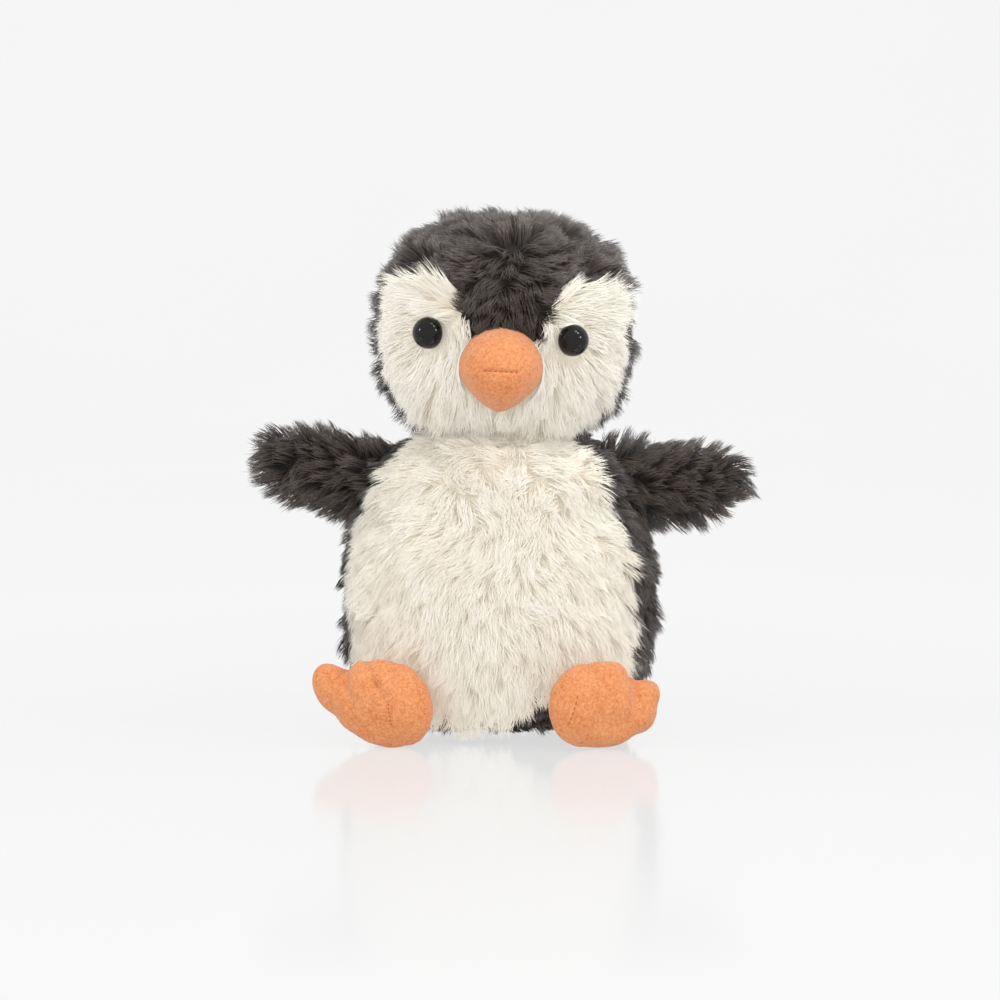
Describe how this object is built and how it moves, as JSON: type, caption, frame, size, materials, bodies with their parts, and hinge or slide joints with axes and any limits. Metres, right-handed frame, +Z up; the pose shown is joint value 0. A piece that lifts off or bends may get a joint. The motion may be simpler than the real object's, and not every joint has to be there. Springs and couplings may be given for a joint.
{
  "type": "plush penguin",
  "caption": "Sitting plush penguin with a charcoal long-pile coat, cream face and belly, glossy eyes, an orange suede beak and feet, and soft sewn flippers.",
  "frame": {"origin": "middle of the flat underside that the penguin sits on", "axes": "+Z up, -Y the way the penguin faces, +X towards the penguin's own left"},
  "size_m": [0.1922, 0.1186, 0.1981],
  "materials": {
    "charcoal_pile": "long tufted polyester pile",
    "cream_pile": "long tufted polyester pile",
    "orange_suede": "short suede nap",
    "stuffing": "loose polyester fibre",
    "pouch_cloth": "thin woven lining",
    "pellets": "smooth granules",
    "eye_gloss": "polished",
    "washer_plastic": "moulded",
    "label_ribbon": "satin ribbon"
  },
  "bodies": {
    "body": {"belly_panel": "cream_pile", "back_panel_left": "charcoal_pile", "back_panel_right": "charcoal_pile", "base_panel": "charcoal_pile", "body_stuffing": "stuffing", "bean_pouch": "pouch_cloth", "bean_pellets": "pellets", "care_label": "label_ribbon"},
    "neck": {"neck_stuffing": "stuffing"},
    "head": {"crown_gusset": "charcoal_pile", "cheek_panel_left": "cream_pile", "cheek_panel_right": "cream_pile", "head_back_left": "charcoal_pile", "head_back_right": "charcoal_pile", "head_stuffing": "stuffing", "beak_upper": "orange_suede", "beak_lower": "orange_suede", "beak_stuffing": "stuffing", "eye_left": "eye_gloss", "eye_right": "eye_gloss", "eye_washer_left": "washer_plastic", "eye_washer_right": "washer_plastic"},
    "flipper_left": {"flipper_left_front": "charcoal_pile", "flipper_left_back": "charcoal_pile", "flipper_left_stuffing": "stuffing"},
    "foot_left": {"foot_left_sole": "orange_suede", "foot_left_upper": "orange_suede", "foot_left_stuffing": "stuffing"},
    "flipper_right": {"flipper_right_front": "charcoal_pile", "flipper_right_back": "charcoal_pile", "flipper_right_stuffing": "stuffing"},
    "foot_right": {"foot_right_sole": "orange_suede", "foot_right_upper": "orange_suede", "foot_right_stuffing": "stuffing"}
  },
  "joints": [
    {"name": "head_turn", "type": "hinge", "parent": "body", "child": "neck", "pos_m": [0, 0, 0.108], "axis": [0, 0, 1], "range_deg": [-20, 20], "stiffness_Nm_per_rad": 0.15},
    {"name": "head_nod", "type": "hinge", "parent": "neck", "child": "head", "pos_m": [0, 0, 0.118], "axis": [0.9964, 0.0697, -0.0489], "range_deg": [-10, 10], "stiffness_Nm_per_rad": 0.4},
    {"name": "flipper_left_flap", "type": "hinge", "parent": "body", "child": "flipper_left", "pos_m": [0.066, 0, 0.0925], "axis": [0, -1, 0], "range_deg": [-45, 35], "stiffness_Nm_per_rad": 0.03},
    {"name": "flipper_right_flap", "type": "hinge", "parent": "body", "child": "flipper_right", "pos_m": [-0.066, 0, 0.0985], "axis": [0, 1, 0], "range_deg": [-45, 35], "stiffness_Nm_per_rad": 0.03},
    {"name": "foot_left_tilt", "type": "hinge", "parent": "body", "child": "foot_left", "pos_m": [0.043, -0.051, 0.011], "axis": [0.9135, 0.4067, 0], "range_deg": [0, 45], "stiffness_Nm_per_rad": 0.05},
    {"name": "foot_right_tilt", "type": "hinge", "parent": "body", "child": "foot_right", "pos_m": [-0.043, -0.051, 0.011], "axis": [0.9848, -0.1736, 0], "range_deg": [0, 45], "stiffness_Nm_per_rad": 0.05}
  ]
}
